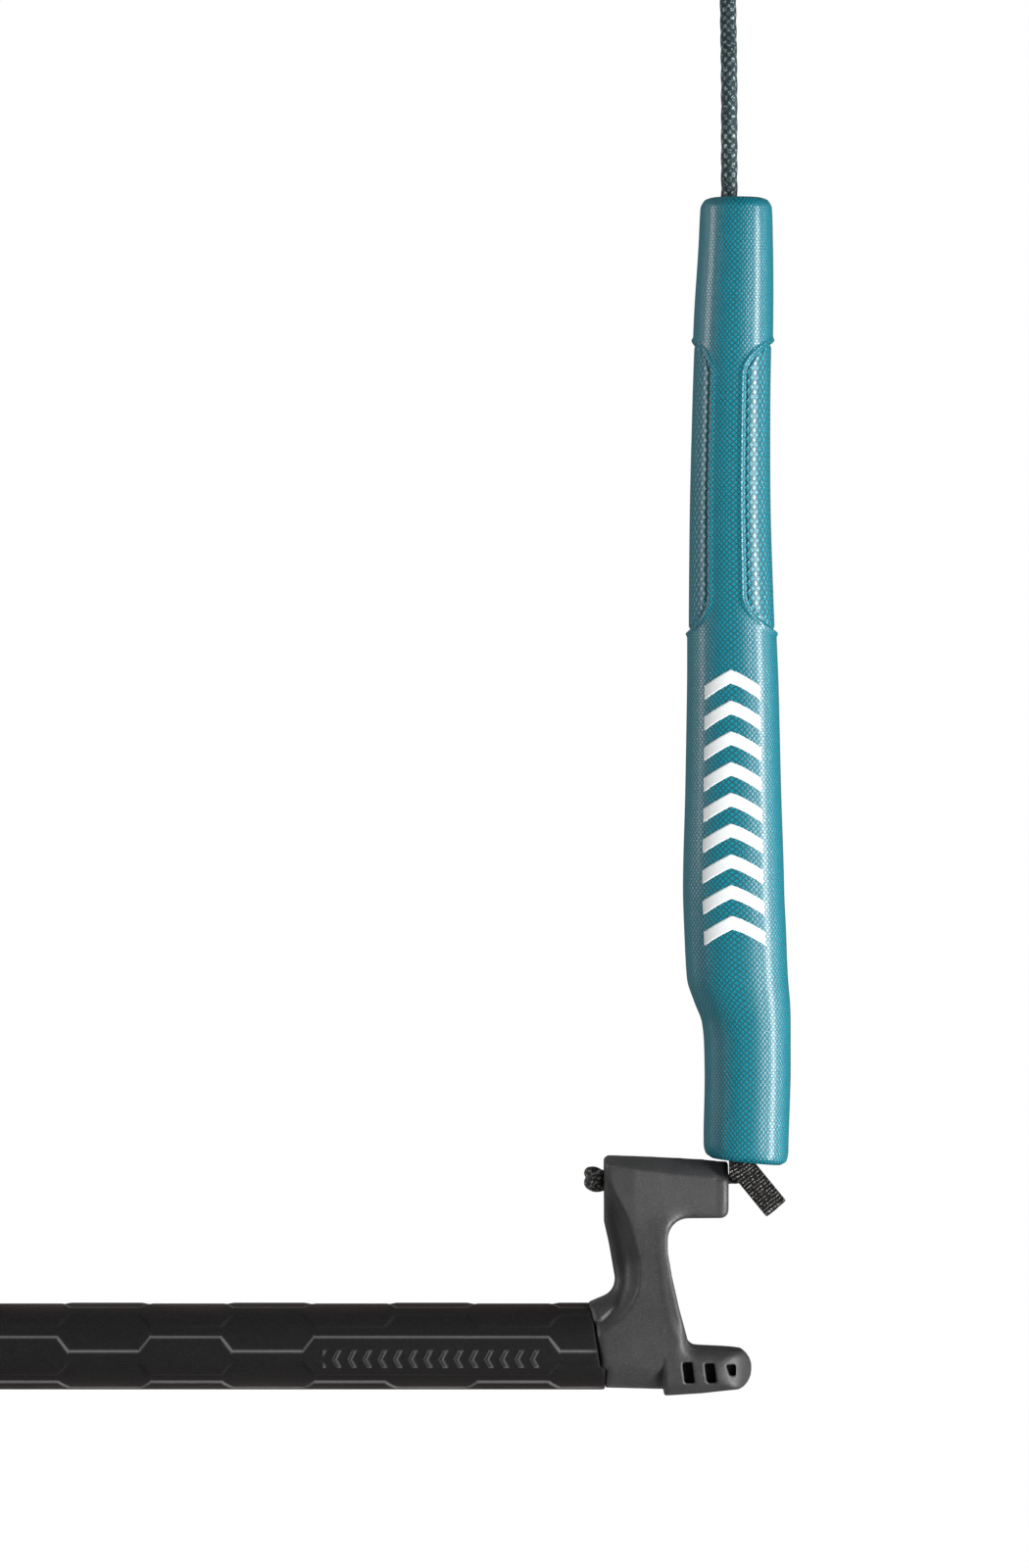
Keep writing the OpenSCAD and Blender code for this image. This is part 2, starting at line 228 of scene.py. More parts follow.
def edge_ends(axis):
    """Index of the lower and of the upper end of every grid edge along an axis."""
    low, high = [slice(None)] * 3, [slice(None)] * 3
    low[axis], high[axis] = slice(0, -1), slice(1, None)
    return tuple(low), tuple(high)


def surface_net(field, low, step):
    """Points and quads of the surface where a sampled field is 0, negative inside."""
    inside = field < 0
    n = np.array(field.shape)
    total, count = np.zeros((*(n - 1), 3)), np.zeros(tuple(n - 1), np.int32)
    for axis in range(3):
        a, b = edge_ends(axis)
        crossed = inside[a] != inside[b]
        cut = np.where(crossed, field[a] / np.where(crossed, field[a] - field[b], 1), 0)
        o1, o2 = [k for k in range(3) if k != axis]
        for p, q in ((0, 0), (0, 1), (1, 0), (1, 1)):
            part = [slice(None)] * 3
            part[o1], part[o2] = slice(p, n[o1] - 1 + p), slice(q, n[o2] - 1 + q)
            hit = crossed[tuple(part)]
            total[..., axis] += np.where(hit, cut[tuple(part)], 0)
            total[..., o1] += np.where(hit, p, 0)
            total[..., o2] += np.where(hit, q, 0)
            count += hit
    used = count > 0
    number = np.full(used.shape, -1)
    number[used] = np.arange(used.sum())
    points = np.stack(np.nonzero(used), 1) + total[used] / count[used][:, None]
    quads = []
    for axis in range(3):
        a, b = edge_ends(axis)
        crossed = inside[a] != inside[b]
        o1, o2 = [k for k in range(3) if k != axis]
        at = np.stack(np.nonzero(crossed), 1)
        at = at[(at[:, o1] > 0) & (at[:, o2] > 0) & (at[:, o1] < n[o1] - 1) & (at[:, o2] < n[o2] - 1)]
        corners = []
        for p, q in ((1, 1), (0, 1), (0, 0), (1, 0)):
            c = at.copy()
            c[:, o1] -= p
            c[:, o2] -= q
            corners.append(number[tuple(c.T)])
        quad = np.stack(corners, 1)
        flip = inside[tuple(at.T)] == (axis == 1)
        quad[flip] = quad[flip][:, ::-1]
        quads.append(quad)
    return points * step + low, np.concatenate(quads)


# ---------- materials ----------

# Rib spacing of the webbing, and the float's fine and coarse diamonds, across and along
RIB_PITCH = 1.05
DIAMONDS = ((1.37, 1.76), (2.3, 2.9))
DIAMONDS_ROUND = 61
BRAID_CARRIERS = 6.0


class Nodes:
    """A node tree under construction, with short calls for the nodes that it needs."""

    def __init__(self, tree):
        self.tree = tree

    def join(self, value, socket):
        if isinstance(value, bpy.types.NodeSocket):
            self.tree.links.new(value, socket)
        else:
            socket.default_value = value

    def node(self, kind, **inputs):
        """A new node: a key is one of its settings, its input's number or its input's name."""
        n = self.tree.nodes.new("ShaderNode" + kind)
        for key, value in inputs.items():
            if hasattr(n, key):
                setattr(n, key, value)
            elif key.startswith("in_"):
                self.join(value, n.inputs[int(key[3:])])
            else:
                self.join(value, n.inputs[key.replace("_", " ")])
        return n

    def math(self, operation, a, b=0.0):
        return self.node("Math", operation=operation, in_0=a, in_1=b).outputs[0]

    def times(self, a, b):
        return self.math("MULTIPLY", a, b)

    def range(self, value, low, high, to_low=0.0, to_high=1.0, kind="LINEAR"):
        """A value brought from between low and high to between two others, and kept there."""
        return self.node("MapRange", interpolation_type=kind, Value=value, From_Min=low,
                         From_Max=high, To_Min=to_low, To_Max=to_high).outputs[0]


class Shader(Nodes):
    """A material and its node tree."""

    def __init__(self, name, **sockets):
        self.material = bpy.data.materials.new(name)
        self.material.use_nodes = True
        super().__init__(self.material.node_tree)
        self.bsdf = self.tree.nodes["Principled BSDF"]
        for key, value in sockets.items():
            self.bsdf.inputs[key.replace("_", " ")].default_value = value

    def object_point(self):
        """Object coordinates in millimetres."""
        point = self.node("TexCoord").outputs["Object"]
        return self.node("VectorMath", operation="SCALE", in_0=point, Scale=1 / MM).outputs[0]

    def uv(self):
        """The u and v of the surface map, which are in millimetres."""
        n = self.node("SeparateXYZ", Vector=self.node("UVMap", uv_map="surface").outputs[0])
        return n.outputs[0], n.outputs[1]

    def mask(self, name):
        """A value that the mesh holds for each of its points."""
        return self.node("Attribute", attribute_name=name).outputs["Fac"]

    def noise(self, point, scale, detail=2.0, roughness=0.5):
        n = self.node("TexNoise", Vector=point, Scale=scale, Detail=detail, Roughness=roughness)
        return n.outputs["Fac"]

    def wave(self, value):
        """A triangle wave of a value: 0 at whole numbers, 1 half way between them."""
        return self.math("PINGPONG", self.times(value, 2.0), 1.0)

    def between(self, factor, a, b):
        """A number between two others."""
        return self.node("Mix", data_type="FLOAT", Factor=factor, in_2=a, in_3=b).outputs[0]

    def mix(self, factor, a, b):
        """A colour between two others."""
        a, b = [(*c, 1) if isinstance(c, tuple) else c for c in (a, b)]
        return self.node("Mix", data_type="RGBA", Factor=factor, in_6=a, in_7=b).outputs[2]

    def colour(self, value):
        self.join(value, self.bsdf.inputs["Base Color"])

    def roughness(self, value):
        self.join(value, self.bsdf.inputs["Roughness"])

    def bump(self, height, distance, strength=1.0):
        """Bump from a height between 0 and 1 that stands for a distance in millimetres."""
        n = self.node("Bump", Height=height, Strength=strength, Distance=distance * MM)
        self.join(n.outputs[0], self.bsdf.inputs["Normal"])


def shaded(colour, factor):
    return tuple(factor * c for c in colour)


def foam_material(name, base, light):
    """Moulded float foam: fine raised diamonds, coarser ones in the recessed side panels, and painted
    shade in the gaps between the diamonds.
    """
    s = Shader(name, Specular_IOR_Level=0.6, Coat_Weight=0.5, Coat_Roughness=0.28)
    u, v = s.uv()
    panel = s.mask("panel")
    heights = []
    for across, along in DIAMONDS:
        a, b = s.math("DIVIDE", u, across), s.math("DIVIDE", v, along)
        one, two = s.wave(s.math("ADD", a, b)), s.wave(s.math("SUBTRACT", a, b))
        heights.append(s.math("MINIMUM", one, two))
    raised = s.range(s.between(panel, *heights), 0.05, 0.55)
    cloud = s.noise(s.object_point(), 0.08, 3.0)
    tint = s.mix(cloud, base, light)
    # Painted shade: the gaps between the raised diamonds are coloured darker than the foam.
    s.colour(s.mix(raised, shaded(base, 0.3), tint))
    worn = s.range(s.noise(s.object_point(), 0.3), 0.3, 0.7, 0.22, 0.3)
    s.roughness(s.math("ADD", worn, s.range(raised, 0.0, 1.0, 0.3, 0.0)))
    s.bump(s.times(raised, s.range(panel, 0.0, 1.0, 0.42, 1.0)), 0.2, 0.9)
    return s.material


def grip_material(name):
    """Dense black foam with a fine grain, a faint warm cast and a painted highlight along the tile
    edges and chevron rims.
    """
    s = Shader(name, Specular_IOR_Level=0.14, Sheen_Weight=0.04, Sheen_Roughness=0.4,
               Sheen_Tint=(1.0, 0.6, 0.55, 1.0))
    p = s.object_point()
    grain = s.noise(p, 2.6, 5.0, 0.7)
    cloud = s.noise(p, 0.05, 2.0)
    # Painted highlight: the colour turns pale grey where the edge mask is set.
    edge = s.times(s.mask("edge"), s.range(grain, 0.3, 0.6, 0.55, 1.0))
    grain_share = s.range(grain, 0.35, 0.7)
    foam = s.mix(grain_share, (0.004, 0.0038, 0.0038), (0.0175, 0.0165, 0.0165))
    s.colour(s.mix(edge, foam, (0.2, 0.198, 0.196)))
    s.roughness(s.range(cloud, 0.3, 0.7, 0.62, 0.74))
    s.bump(grain, 0.16)
    return s.material


def moulded_material(name, dark, light, rough=0.46, speckle=0.9):
    """Glass-filled moulded plastic: dark grey with a fine pale speckle."""
    s = Shader(name, Roughness=rough, Specular_IOR_Level=0.5)
    p = s.object_point()
    grain = s.noise(p, 3.2, 6.0, 0.8)
    cloud = s.noise(p, 0.12, 3.0)
    base = s.mix(s.range(cloud, 0.3, 0.7), dark, light)
    fleck = s.times(s.range(grain, 0.52, 0.68), speckle)
    plastic = s.mix(fleck, base, shaded(light, 3.0))
    # Painted shade: where the hollow mask is set, inside the horn's windows, the colour is near black.
    s.colour(s.mix(s.mask("hollow"), plastic, (0.0015, 0.0015, 0.0015)))
    s.roughness(s.range(s.noise(p, 1.1, 4.0), 0.3, 0.7, rough - 0.08, rough + 0.1))
    s.bump(grain, 0.05)
    return s.material


def braid_material(name, dark, pale, pitch, pale_share=0.5):
    """Braided cord: diamonds of crossing strands, each fibre with pale flecks."""
    s = Shader(name, Roughness=0.62, Specular_IOR_Level=0.4, Sheen_Weight=0.2)
    u, v = s.uv()
    a, b = s.times(u, BRAID_CARRIERS), s.math("DIVIDE", v, pitch)
    one, two = s.math("ADD", a, b), s.math("SUBTRACT", a, b)
    cell = s.math("MODULO", s.math("ADD", s.math("FLOOR", one), s.math("FLOOR", two)), 2.0)
    over = s.math("ABSOLUTE", cell)
    strand = s.times(s.wave(one), s.wave(two))
    fibre = s.between(over, *(s.wave(s.times(run, 3.0)) for run in (one, two)))
    fleck = s.noise(s.object_point(), 1.3, 3.0, 0.7)
    # Pale fibre flecks, faded out towards the creases between the strands as painted shade.
    lit = s.times(s.range(fleck, 0.48, 0.56), s.range(strand, 0.1, 0.5))
    lit = s.times(lit, s.range(fibre, 0.2, 0.8, 0.3, 1.0))
    lit = s.times(lit, s.range(over, 0.0, 1.0, pale_share, 1.0))
    # Painted shade darkens the strands' colour in the creases between them.
    shade = s.mix(s.range(strand, 0.0, 0.35), shaded(dark, 0.3), dark)
    s.colour(s.mix(lit, shade, pale))
    s.bump(fibre, 0.06)
    return s.material


def webbing_material(name):
    """Ribbed black webbing with pale flecks on the rib crowns, and painted shade between the ribs."""
    s = Shader(name, Roughness=0.7, Specular_IOR_Level=0.15, Sheen_Weight=0.03)
    u, v = s.uv()
    thread = s.wave(s.math("ADD", s.times(u, 2.2), s.times(v, 1.4)))
    fleck = s.noise(s.object_point(), 1.6, 4.0, 0.8)
    rib = s.wave(s.math("DIVIDE", v, RIB_PITCH))
    lit = s.times(s.range(fleck, 0.5, 0.6), s.range(rib, 0.45, 0.8))
    # Painted shade: the colour is darker between the ribs.
    shade = s.mix(s.range(rib, 0.0, 0.5), (0.002, 0.002, 0.002), (0.009, 0.009, 0.009))
    s.colour(s.mix(s.times(lit, 0.9), shade, (0.46, 0.44, 0.41)))
    s.bump(thread, 0.08)
    return s.material


def metal_material(name, base, rough):
    """Brushed metal."""
    s = Shader(name, Metallic=1.0, Roughness=rough)
    p = s.object_point()
    brushed = s.noise(p, 1.8, 5.0, 0.7)
    s.colour(s.mix(brushed, shaded(base, 0.82), base))
    s.roughness(s.range(brushed, 0.3, 0.7, rough - 0.08, rough + 0.1))
    s.bump(brushed, 0.02)
    return s.material


def grained_material(name, dark, light, rough=0.5, scale=4.0, detail=3.0, depth=0.03):
    """Matt rubber, closed foam or screen print with a fine grain."""
    s = Shader(name, Roughness=rough)
    grain = s.noise(s.object_point(), scale, detail)
    s.colour(s.mix(grain, dark, light))
    s.bump(grain, depth)
    return s.material


MATERIALS = {name: make(name, *values) for name, make, *values in (
    ("tube_metal", metal_material, (0.72, 0.73, 0.75), 0.34),
    ("steel", metal_material, (0.62, 0.62, 0.64), 0.24),
    ("hub_plastic", moulded_material, (0.02, 0.02, 0.022), (0.03, 0.03, 0.032), 0.5, 0.5),
    ("winder_plastic", moulded_material, (0.03, 0.03, 0.0305), (0.042, 0.042, 0.043)),
    ("grip_foam", grip_material),
    ("float_foam_teal", foam_material, (0.0, 0.23, 0.31), (0.0, 0.265, 0.345)),
    ("float_foam_red", foam_material, (0.42, 0.012, 0.02), (0.5, 0.018, 0.028)),
    ("core_foam", grained_material, (0.49, 0.49, 0.462), (0.91, 0.91, 0.858)),
    ("seal_rubber", grained_material, (0.0084, 0.0084, 0.0084), (0.0156, 0.0156, 0.0156)),
    ("black_line", braid_material, (0.016, 0.016, 0.016), (0.62, 0.59, 0.53), 2.0, 0.9),
    ("line_teal", braid_material, (0.004, 0.034, 0.044), (0.66, 0.86, 0.87), 2.9),
    ("line_red", braid_material, (0.07, 0.005, 0.007), (0.9, 0.68, 0.66), 2.9),
    ("webbing", webbing_material),
    ("print_white", grained_material, (0.74, 0.78, 0.78), (0.88, 0.9, 0.9), 0.55, 1.2, 4.0, 0.02),
)}


# ---------- camera, light and table ----------

# Brightness of the surroundings everywhere, in the high ring and low on the left
WORLD_BASE, WORLD_RING, WORLD_LEFT = 0.04, 0.14, 0.5
# The table's colour, how much of it the camera sees as plain white, and its glow on the left
TABLE_GREY, TABLE_GLOW, TABLE_LEFT = 0.08, 0.975, 0.5

# The view takes in this stretch of the bar's plane, centred here
VIEW_CENTER = (177.6, 171.1)
VIEW_HEIGHT = 477.6
CAMERA_HEIGHT = 1730.0
SENSOR = 36.0


def make_camera():
    """The camera looks straight down on the bar's right half."""
    data = bpy.data.cameras.new("camera")
    data.sensor_width = SENSOR
    data.sensor_fit = "VERTICAL"
    data.sensor_height = SENSOR
    data.lens = SENSOR * CAMERA_HEIGHT / VIEW_HEIGHT
    data.clip_start, data.clip_end = 0.05, 50
    obj = placed("camera", data)
    obj.location = (VIEW_CENTER[0] * MM, VIEW_CENTER[1] * MM, CAMERA_HEIGHT * MM)
    bpy.context.scene.camera = obj


def make_light(name, place, target, size, power):
    """A rectangular lamp of a size, at a place in metres and turned to a target."""
    data = bpy.data.lights.new(name, "AREA")
    data.shape = "RECTANGLE"
    data.size, data.size_y = size
    data.energy = power
    obj = placed(name, data)
    obj.location = place
    z = unit(np.subtract(place, target))
    x = unit(np.cross((0, 1, 0), z))
    y = np.cross(z, x)
    obj.rotation_euler = Matrix([[x[i], y[i], z[i]] for i in range(3)]).to_euler()


def make_world():
    """Soft surroundings: a bright ring well above the horizon and a white left, dark behind."""
    world = bpy.data.worlds.new("world")
    bpy.context.scene.world = world
    world.use_nodes = True
    s = Nodes(world.node_tree)
    x, y, z = s.node("SeparateXYZ", Vector=s.node("TexCoord").outputs["Generated"]).outputs

    def step(value, low, high, to_low, to_high):
        return s.range(value, low, high, to_low, to_high, "SMOOTHSTEP")

    left = s.times(step(x, -0.9, -0.2, WORLD_LEFT, 0.0), step(z, 0.05, 0.5, 1.0, 0.0))
    ring = s.times(step(z, 0.3, 0.6, 0.0, WORLD_RING), step(z, 0.78, 0.98, 1.0, 0.15))
    ring = s.times(ring, step(y, -0.1, 0.6, 1.0, 0.1))
    background = s.tree.nodes["Background"].inputs
    s.join(s.math("ADD", s.math("ADD", left, ring), WORLD_BASE), background["Strength"])
    background["Color"].default_value = (1, 1, 1, 1)


def make_table():
    """A pale table. The camera sees it almost evenly white, with faint shadows."""
    c, z = 3.0, (table_z - 0.02) * MM
    me = bpy.data.meshes.new("table")
    me.from_pydata([(-c, -c, z), (c, -c, z), (c, c, z), (-c, c, z)], [], [(0, 1, 2, 3)])
    obj = placed("table", me)
    s = Shader("table", Roughness=0.8, Specular_IOR_Level=0.2)
    s.colour((TABLE_GREY, TABLE_GREY, TABLE_GREY, 1))
    x = s.node("SeparateXYZ", Vector=s.object_point()).outputs[0]
    left = s.node("Emission", Strength=s.range(x, 100, 262, TABLE_LEFT, 0.0))
    lit = s.node("AddShader", in_0=s.bsdf.outputs[0], in_1=left.outputs[0])
    glow = s.node("Emission", Strength=1.02)
    seen = s.times(s.node("LightPath").outputs["Is Camera Ray"], TABLE_GLOW)
    mix = s.node("MixShader", in_0=seen, in_1=lit.outputs[0], in_2=glow.outputs[0])
    s.join(mix.outputs[0], s.tree.nodes["Material Output"].inputs["Surface"])
    me.materials.append(s.material)


bpy.context.scene.view_settings.view_transform = "Standard"
make_camera()
make_world()
make_table()
make_light("right_strip", (1.5, -0.15, 0.8), (0.22, 0.1, 0), (0.28, 2.1), 57)
make_light("overhead_right", (0.72, 0.02, 0.95), (0.25, 0.1, 0), (0.24, 0.6), 1.0)
make_light("left_soft", (-1.1, 0.6, 0.42), (0.27, 0.4, 0), (0.5, 0.8), 9)


# ---------- leaders: free cords from the floats' mouths to their coils ----------

# The leader's straight start and its dip to the table, as y and z
LEADER_ROUTE = [(243, y, z) for y, z in (
    (343.4, 0), (352, 0), (361, 0), (370, 0), (379, 0), (386, -0.6), (392, -2.2), (398, -4.9),
    (404, -7.4), (410, -9.2), (417, -10.1), (425, -10.2))]
coil_low, coil_high = node_box("leader_coil_right")
coil_center = (coil_low + coil_high) / 2
coil_r = (coil_high[0] - coil_low[0]) / 2 - 2 * line_r
knot_turn = math.radians(-60)
knot_place = coil_center[:2] + 16.2 * np.array([math.cos(knot_turn), math.sin(knot_turn)])


def coil_route():
    """Turns of the coil, clockwise from its left side: out low, out high, in high, in low, then
    inwards to the end knot. A turn changes its place over a sixth of a turn."""
    points = []
    for turned in range(30, 1381, 10):
        out_up, inner, out_down, inmost = (
            float(eased(turned, at - 60, at)) for at in (360, 660, 960, 1260))
        to_knot = float(eased(turned, 1290, 1380))
        a = math.radians(180 - turned)
        r = coil_r + line_r - 2 * line_r * (inner + inmost + 0.46 * to_knot)
        z = coil_center[2] - line_r + 2 * line_r * (out_up - out_down) + 1.3 * to_knot
        points.append((coil_center[0] + r * math.cos(a), coil_center[1] + r * math.sin(a), z))
    return points


def braided(name, side, body, slot, route, radius, step, sides, pitch, replaces=()):
    """A braided cord along a route of the right side, with its ends closed: two sets of crossing
    strands stand a little proud of it."""
    path, s = smooth_curve(route, step)

    def shape(at, a):
        run = BRAID_CARRIERS / 2 * a / math.pi
        one = np.abs(np.cos((run + 2 * at / pitch) * math.pi / 2))
        two = np.abs(np.cos((run - 2 * at / pitch) * math.pi / 2))
        return radius + 0.11 * radius * (np.maximum(one, two) - 0.75)

    points, quads, uv = ring_grid(tube_rings(path, s, shape, sides), s, side, ends=True)
    return piece(name, side, body, slot, points, quads, uv, replaces=replaces), path


LEADER_SLOTS = {"right": "line_teal", "left": "line_red"}
FLOAT_SLOTS = {"right": "float_foam_teal", "left": "float_foam_red"}


def knot_route(center, size, along, up, flat=1.0):
    """A tight overhand knot: the line's middle runs round a trefoil of about that size."""
    along, up = np.array(along, float), np.array(up, float)
    across = np.cross(along, up)
    points = []
    for i in range(37):
        t = 2 * math.pi * i / 36
        x, y = math.sin(t) + 2 * math.sin(2 * t), math.cos(t) - 2 * math.cos(2 * t)
        z = -math.sin(3 * t)
        points.append(np.array(center) + size * (x / 3 * across + y / 3 * up + 0.45 * flat * z * along))
    return points


def make_leader(side):
    slot = LEADER_SLOTS[side]
    obj, path = braided("leader_cord", side, "leader", slot, LEADER_ROUTE + coil_route(), line_r,
                        0.45, 28, 6.2, ("leader_line", "leader_coil"))
    knot, _ = braided("leader_end_knot_detail", side, "leader", slot,
                      knot_route((*knot_place, table_z + 4.6), 2.6, (0, 0, 1), (0.5, 0.866, 0)),
                      1.85, 0.4, 24, 5.2, ("leader_end_knot",))
    tie = make_coil_tie(side)


def band_rings(path, up, half_width, half_thick, count=36):
    """Rings of a flat band: rounded rectangles across a path, wide along the up direction."""
    up = np.array(up, float)
    out = np.cross(unit(np.gradient(path, axis=0)), up)
    a = angles(count)
    across = squared(np.cos(a), 0.35) * half_width
    proud = squared(np.sin(a), 0.6) * half_thick
    return path[:, None] + across[None, :, None] * up + proud[None, :, None] * out[:, None]


def make_coil_tie(side):
    """A woven band round the turns of the coil, opposite the float."""
    low, high = node_box("coil_tie_right")
    middle, size = (low + high) / 2, high - low
    half_y, half_z = size[1] / 2 - 0.45, size[2] / 2 - 0.45
    a = np.linspace(0, 2 * math.pi, 161)
    path = np.stack([np.full(a.shape, middle[0]), middle[1] + half_y * squared(np.cos(a), 0.45),
                     middle[2] + half_z * squared(np.sin(a), 0.45)], 1)
    path, at = spaced(path, 181)
    closed = np.vstack([path[-2:-1], path, path[1:2]])
    rings = band_rings(closed, (1, 0, 0), size[0] / 2, 0.4)[1:-2]
    points, quads, uv = ring_grid(rings, at[:-1], side, closed=True, around=2 * size[0])
    return piece("coil_tie_detail", side, "leader", "webbing", points, quads, uv,
                 replaces=("coil_tie",))


for side in SIDES:
    make_leader(side)


# ---------- floats ----------

# Height over the base, middle, half width, half thickness and slope of the float's sections
FLOAT_STATIONS = np.array([
    [0, 5.2, 10.6, 9.4, -0.105], [1.2, 5.2, 12.3, 11.2, -0.1], [4, 5.2, 12.9, 12, -0.08],
    [27, 5.7, 13.1, 12.4, 0], [36, 5.6, 13.2, 12.5, 0], [42, 5.3, 13.5, 12.6, 0],
    [48.5, 4, 14.6, 12.8, 0], [55.6, 2.6, 15.4, 13, 0], [70, 1.9, 15.5, 13.1, 0],
    [84, 1.4, 15.4, 13.1, 0], [113, 1.3, 14.6, 12.9, 0], [142, 1.2, 14, 12.7, 0],
    [170, 0.7, 13.4, 12.5, 0], [199, 0.4, 12.8, 12.2, 0], [228, 0.7, 12.4, 12.1, 0],
    [256, 1.4, 12.1, 11.9, 0], [280, 2.1, 11.3, 11.4, 0], [290, 2.2, 10.9, 10.6, 0],
    [292.5, 2.2, 9.6, 9.2, 0], [293, 2.2, 8.2, 8, 0]
])
float_sides = 190
float_bore_r = 4.0
pocket_r = 6.5
pocket_depth = 28.5
# A usual radius of the float, for lengths round it
float_r = 13.3


def float_section(h):
    """Middle, half width, half thickness and slope of the section at each height."""
    return [smooth_between(h, FLOAT_STATIONS[:, 0], FLOAT_STATIONS[:, k]) for k in (1, 2, 3, 4)]


def float_surface(h, a, proud=0.0):
    """Points of the float's skin at heights h and angles a, with +X at 0 and +Z at 90 degrees."""
    middle, wide, thick, slope = float_section(h)
    x = squared(np.cos(a), 0.85) * (wide + proud)
    z = squared(np.sin(a), 0.85) * (thick + proud)
    return np.stack([leader_x + middle + x, float_base_y + h + slope * x, z], -1)


# Recessed panels at the sides: heights of their straight part and of their pointed ends, and how
# far round the outer and the inner one reach from their sides, in degrees
PANEL_LOW, PANEL_HIGH = 171.8, 238.6
PANEL_ENDS = 11.0
PANEL_REACHES = (79, 62)


def panel_depth(h, a):
    """How far each place lies inside a side panel's outline, in millimetres."""
    depth = np.full(np.broadcast(h, a).shape, -9.0)
    from_outer = np.abs(np.angle(np.exp(1j * a)))
    beyond = np.maximum(np.maximum(h - PANEL_HIGH, PANEL_LOW - h), 0)
    for reach, from_side in zip(PANEL_REACHES, (from_outer, math.pi - from_outer)):
        half, t = math.radians(reach) * float_r, from_side * float_r
        q = np.sqrt((t / half) ** 2 + (beyond / PANEL_ENDS) ** 2)
        grow = np.sqrt((t / half ** 2) ** 2 + (beyond / PANEL_ENDS ** 2) ** 2) / np.maximum(q, 1e-6)
        depth = np.maximum(depth, (1 - q) / np.maximum(grow, 1e-6))
    return depth


def bore_x(y):
    """Middle of the float's bore: upright in the pocket, leaning from there out to the mouth."""
    if y <= float_base_y + pocket_depth:
        return pivot[0]
    return pivot[0] - 0.1 + (leader_x - pivot[0] + 0.1) * (y - arm_y - 28) / 264.5


def make_float(side):
    fine = np.arange(156, 254, 0.4)
    ends = np.array([0, 0.12, 0.35, 0.7, 1.2, 1.8, 2.5, 3.2, 4])
    h = np.concatenate([ends, np.arange(5.2, 156, 1.2), fine, np.arange(254.5, 288.5, 1.2),
                        np.linspace(288.6, 292.2, 8), [292.5, 292.75, 292.9, 293]])
    a = angles(float_sides)
    skin = float_surface(h[:, None], a[None, :])
    depth = panel_depth(h[:, None], a[None, :])
    relief = 0.5 * np.exp(-((depth + 0.3) / 0.6) ** 2) - 0.6 * np.exp(-((depth - 1.0) / 0.55) ** 2)
    relief -= 0.5 * eased(depth, 0.2, 1.6)
    normal = skin - np.stack([leader_x + float_section(h)[0], float_base_y + h, 0 * h], 1)[:, None]
    normal[..., 1] = 0
    skin = skin + relief[..., None] * unit(normal)

    # The bore, as heights over the base and radii: from the mouth to the pocket and down to the base
    bore = [(float_length, float_bore_r + 0.9), (float_length - 0.4, float_bore_r + 0.2),
            (float_length - 1.2, float_bore_r), (203.7, float_bore_r), (113.7, float_bore_r),
            (pocket_depth + 0.5, float_bore_r), (pocket_depth, float_bore_r + 0.5),
            (pocket_depth, pocket_r - 0.4), (pocket_depth - 0.6, pocket_r),
            (12, pocket_r), (0.8, pocket_r), (-0.1, pocket_r + 0.6)]
    _, base_middle, _, _, base_slope = FLOAT_STATIONS[0]
    inner = []
    for height, r in bore:
        y = float_base_y + height
        x = bore_x(y) + r * np.cos(a)
        slant = base_slope * (x - leader_x - base_middle) if height < 1 else 0
        inner.append(np.stack([x, y + slant + 0 * a, r * np.sin(a)], 1))
    rings = np.concatenate([skin, np.array(inner)])
    v = np.concatenate([h, [height for height, _ in bore]])
    panel = np.concatenate([eased(depth, 0.9, 1.3), np.zeros((len(inner), float_sides))])
    points, quads, uv = ring_grid(rings, v, side, closed=True, around=DIAMONDS_ROUND * DIAMONDS[0][0])
    obj = piece("float_skin", side, "float", FLOAT_SLOTS[side], points, quads, uv,
                {"panel": panel.ravel()}, ("float",))
    make_print(side)


def make_print(side):
    """A printed row of plain chevrons on the float's face, each a thin slab of its own."""
    across = np.linspace(-1, 1, 27)
    along = np.linspace(0, 1, 9)
    first, last, count = 67.0, 146.0, 9
    pitch = (last - first - 4.6) / (count - 1)
    points, quads, uvs, base = [], [], [], 0
    for i in range(count):
        loops = []
        for u in across:
            h = first + i * pitch + 5.0 * (1 - abs(u)) - 1.2 + 4.2 * along
            a = np.full(h.shape, math.radians(93 - 33 * u))
            loops.append(np.concatenate([float_surface(h, a, 0.09), float_surface(h[::-1], a, -0.3)]))
        p, q, uv = ring_grid(np.array(loops), across, side, ends=True)
        points.append(p)
        quads.append(q + base)
        uvs.append(uv)
        base += len(p)
    piece("float_print", side, "float", "core_foam", np.concatenate(points),
          np.concatenate(quads), np.concatenate(uvs), finish="print_white")


# ---------- grips ----------

# Hexagon relief: columns of tiles along the grip, and rows round it, in millimetres and degrees
FIRST_COLUMN = 53.3
COLUMN_PITCH = 24.78
FLAT_SHARE = 21.4
ROW_PITCH = 72.0
TILE_TOP, TILE_TOP_SWING = 8.2, -10.0
TILE_FOOT, TILE_FOOT_SWING = -29.0, 9.7
ROW_MIDDLE = -10.4
TILE_HEIGHT = 0.45
# The long tile on the face skips the column between these places
LONG_TILE = (129.0, 176.0)


def column_wave(x):
    """1 along the flats of every other column, -1 along the others, slanted between them."""
    phase = (x - FIRST_COLUMN + 2 * COLUMN_PITCH) % (2 * COLUMN_PITCH)
    phase = np.abs(phase - COLUMN_PITCH) / COLUMN_PITCH
    slant = (COLUMN_PITCH - FLAT_SHARE) / COLUMN_PITCH
    return np.clip((phase - 0.5) / (slant / 2), -1, 1)


def chevron_row(x, t):
    """Depth inside a row of plain embossed chevrons, t being the height from its middle."""
    along = (x - 0.5 * np.abs(t) + 100) % 4.6
    return np.minimum(np.minimum(0.75 - np.abs(along - 2.3), 3.0 - np.abs(t)),
                      np.minimum(x - 119.5, 186.0 - x))


